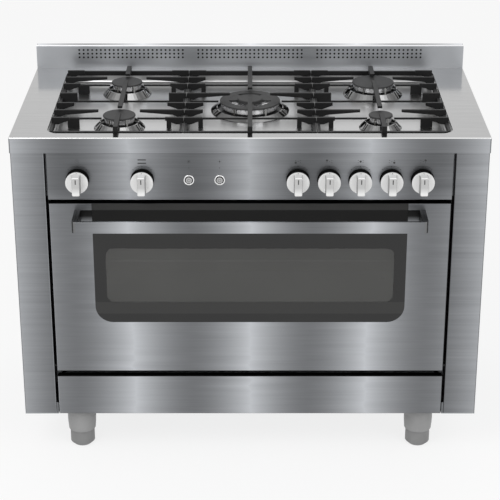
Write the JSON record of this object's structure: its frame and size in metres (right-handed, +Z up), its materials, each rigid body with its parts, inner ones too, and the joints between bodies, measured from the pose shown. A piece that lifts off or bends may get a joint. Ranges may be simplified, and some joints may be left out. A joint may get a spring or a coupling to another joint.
{
  "type": "gas cooker",
  "caption": "Free-standing wide gas cooker in brushed steel with burners under cast pan supports, a drop-down oven door, control knobs and a storage flap below.",
  "frame": {"origin": "on the floor under the middle of the outline, handle included", "axes": "+X to the right of someone facing the cooker, +Y to its back, +Z up"},
  "size_m": [1.2, 0.68, 0.966],
  "materials": {
    "body_steel": "horizontal brush lines, satin",
    "worktop_steel": "fine satin, mirror-like at a low angle",
    "panel_steel": "horizontal brush lines, satin",
    "door_steel": "horizontal brush lines, satin",
    "handle_steel": "fine brush lines along the bar",
    "galvanised_steel": "zinc grey, matte",
    "liner_steel": "dark enamel, satin",
    "oven_enamel": "dark vitreous enamel",
    "door_glass": "tinted, polished",
    "inner_glass": "clear, polished",
    "hinge_steel": "zinc plated",
    "cast_iron": "matte black enamel",
    "burner_steel": "polished",
    "burner_cast": "cast, dark",
    "burner_alloy": "cast, heat-darkened",
    "cap_enamel": "matte black enamel",
    "spark_ceramic": "white, fired",
    "sensor_metal": "drawn",
    "gas_pipe": "zinc plated",
    "tap_brass": "machined",
    "feed_aluminium": "drawn tube",
    "knob_metal": "satin silver",
    "bezel_black": "matte black",
    "spindle_steel": "turned",
    "timer_plastic": "moulded",
    "button_metal": "satin silver",
    "switch_metal": "polished ring",
    "mineral_wool": "fibrous",
    "seal_rubber": "braided, matte",
    "oven_burner_steel": "heat-darkened",
    "grill_tube": "oxidised tube",
    "chrome_wire": "polished wire",
    "foot_grey": "satin grey"
  },
  "bodies": {
    "cooker": {"side_panel_left": "body_steel", "side_panel_right": "body_steel", "backguard": "body_steel", "worktop": "worktop_steel", "control_panel": "panel_steel", "back_panel": "galvanised_steel", "base_frame": "galvanised_steel", "storage_box": "galvanised_steel", "oven_cavity": "oven_enamel", "oven_floor": "oven_enamel", "burner_skirts": "burner_steel", "burner_bases": "burner_cast", "burner_crowns": "burner_alloy", "burner_caps": "cap_enamel", "spark_plugs": "spark_ceramic", "flame_sensors": "sensor_metal", "gas_manifold": "gas_pipe", "gas_taps": "tap_brass", "feed_pipes": "feed_aluminium", "knob_bezels": "bezel_black", "timer_unit": "timer_plastic", "button_switches": "switch_metal", "oven_insulation": "mineral_wool", "door_seal": "seal_rubber", "oven_burner": "oven_burner_steel", "grill_element": "grill_tube", "shelf_racks": "chrome_wire", "wire_shelf": "chrome_wire", "foot_sleeves": "foot_grey"},
    "door": {"door_panel": "door_steel", "door_glass": "door_glass", "door_liner": "liner_steel", "door_inner_glass": "inner_glass", "door_handle": "handle_steel", "door_hinges": "hinge_steel"},
    "flap": {"flap_panel": "door_steel", "flap_liner": "liner_steel", "flap_hinges": "hinge_steel"},
    "knob_timer": {"knob_timer": "knob_metal"},
    "spindle_front_left": {"tap_spindle_front_left": "spindle_steel"},
    "knob_front_left": {"knob_front_left": "knob_metal"},
    "spindle_rear_left": {"tap_spindle_rear_left": "spindle_steel"},
    "knob_rear_left": {"knob_rear_left": "knob_metal"},
    "spindle_wok": {"tap_spindle_wok": "spindle_steel"},
    "knob_wok": {"knob_wok": "knob_metal"},
    "spindle_front_right": {"tap_spindle_front_right": "spindle_steel"},
    "knob_front_right": {"knob_front_right": "knob_metal"},
    "spindle_rear_right": {"tap_spindle_rear_right": "spindle_steel"},
    "knob_rear_right": {"knob_rear_right": "knob_metal"},
    "spindle_oven": {"tap_spindle_oven": "spindle_steel"},
    "knob_oven": {"knob_oven": "knob_metal"},
    "button_light": {"button_light": "button_metal"},
    "button_ignition": {"button_ignition": "button_metal"},
    "pan_support_left": {"pan_support_left": "cast_iron"},
    "pan_support_centre": {"pan_support_centre": "cast_iron"},
    "pan_support_right": {"pan_support_right": "cast_iron"},
    "foot_front_left": {"foot_front_left": "foot_grey"},
    "foot_front_right": {"foot_front_right": "foot_grey"},
    "foot_rear_left": {"foot_rear_left": "foot_grey"},
    "foot_rear_right": {"foot_rear_right": "foot_grey"}
  },
  "joints": [
    {"name": "door_swing", "type": "hinge", "parent": "cooker", "child": "door", "pos_m": [0, -0.248, 0.259], "axis": [1, 0, 0], "range_deg": [0, 90], "stiffness_Nm_per_rad": 4, "springref_deg": -34.38},
    {"name": "flap_swing", "type": "hinge", "parent": "cooker", "child": "flap", "pos_m": [0, -0.253, 0.126], "axis": [1, 0, 0], "range_deg": [0, 90]},
    {"name": "timer_turn", "type": "hinge", "parent": "cooker", "child": "knob_timer", "pos_m": [-0.432, -0.26, 0.788], "axis": [0, -1, 0], "range_deg": [-300, 0]},
    {"name": "tap_front_left_turn", "type": "hinge", "parent": "cooker", "child": "spindle_front_left", "pos_m": [0.12, -0.26, 0.788], "axis": [0, -1, 0], "range_deg": [0, 210]},
    {"name": "tap_front_left_push", "type": "slide", "parent": "spindle_front_left", "child": "knob_front_left", "axis": [0, 1, 0], "range_m": [0, 0.004], "stiffness_N_per_m": 2500, "springref_m": -0.0005},
    {"name": "tap_rear_left_turn", "type": "hinge", "parent": "cooker", "child": "spindle_rear_left", "pos_m": [0.198, -0.26, 0.788], "axis": [0, -1, 0], "range_deg": [0, 210]},
    {"name": "tap_rear_left_push", "type": "slide", "parent": "spindle_rear_left", "child": "knob_rear_left", "axis": [0, 1, 0], "range_m": [0, 0.004], "stiffness_N_per_m": 2500, "springref_m": -0.0005},
    {"name": "tap_wok_turn", "type": "hinge", "parent": "cooker", "child": "spindle_wok", "pos_m": [0.276, -0.26, 0.788], "axis": [0, -1, 0], "range_deg": [0, 210]},
    {"name": "tap_wok_push", "type": "slide", "parent": "spindle_wok", "child": "knob_wok", "axis": [0, 1, 0], "range_m": [0, 0.004], "stiffness_N_per_m": 2500, "springref_m": -0.0005},
    {"name": "tap_front_right_turn", "type": "hinge", "parent": "cooker", "child": "spindle_front_right", "pos_m": [0.354, -0.26, 0.788], "axis": [0, -1, 0], "range_deg": [0, 210]},
    {"name": "tap_front_right_push", "type": "slide", "parent": "spindle_front_right", "child": "knob_front_right", "axis": [0, 1, 0], "range_m": [0, 0.004], "stiffness_N_per_m": 2500, "springref_m": -0.0005},
    {"name": "tap_rear_right_turn", "type": "hinge", "parent": "cooker", "child": "spindle_rear_right", "pos_m": [0.432, -0.26, 0.788], "axis": [0, -1, 0], "range_deg": [0, 210]},
    {"name": "tap_rear_right_push", "type": "slide", "parent": "spindle_rear_right", "child": "knob_rear_right", "axis": [0, 1, 0], "range_m": [0, 0.004], "stiffness_N_per_m": 2500, "springref_m": -0.0005},
    {"name": "tap_oven_turn", "type": "hinge", "parent": "cooker", "child": "spindle_oven", "pos_m": [-0.27, -0.26, 0.788], "axis": [0, -1, 0], "range_deg": [0, 270]},
    {"name": "tap_oven_push", "type": "slide", "parent": "spindle_oven", "child": "knob_oven", "axis": [0, 1, 0], "range_m": [0, 0.004], "stiffness_N_per_m": 2500, "springref_m": -0.0005},
    {"name": "button_light_press", "type": "slide", "parent": "cooker", "child": "button_light", "axis": [0, 1, 0], "range_m": [0, 0.003], "stiffness_N_per_m": 800, "springref_m": -0.0005},
    {"name": "button_ignition_press", "type": "slide", "parent": "cooker", "child": "button_ignition", "axis": [0, 1, 0], "range_m": [0, 0.003], "stiffness_N_per_m": 800, "springref_m": -0.0005},
    {"name": "pan_support_left_lift", "type": "slide", "parent": "cooker", "child": "pan_support_left", "axis": [0, 0, 1], "range_m": [0, 0.12]},
    {"name": "pan_support_centre_lift", "type": "slide", "parent": "cooker", "child": "pan_support_centre", "axis": [0, 0, 1], "range_m": [0, 0.12]},
    {"name": "pan_support_right_lift", "type": "slide", "parent": "cooker", "child": "pan_support_right", "axis": [0, 0, 1], "range_m": [0, 0.12]},
    {"name": "foot_front_left_level", "type": "slide", "parent": "cooker", "child": "foot_front_left", "axis": [0, 0, -1], "range_m": [0, 0.025]},
    {"name": "foot_front_right_level", "type": "slide", "parent": "cooker", "child": "foot_front_right", "axis": [0, 0, -1], "range_m": [0, 0.025]},
    {"name": "foot_rear_left_level", "type": "slide", "parent": "cooker", "child": "foot_rear_left", "axis": [0, 0, -1], "range_m": [0, 0.025]},
    {"name": "foot_rear_right_level", "type": "slide", "parent": "cooker", "child": "foot_rear_right", "axis": [0, 0, -1], "range_m": [0, 0.025]}
  ]
}
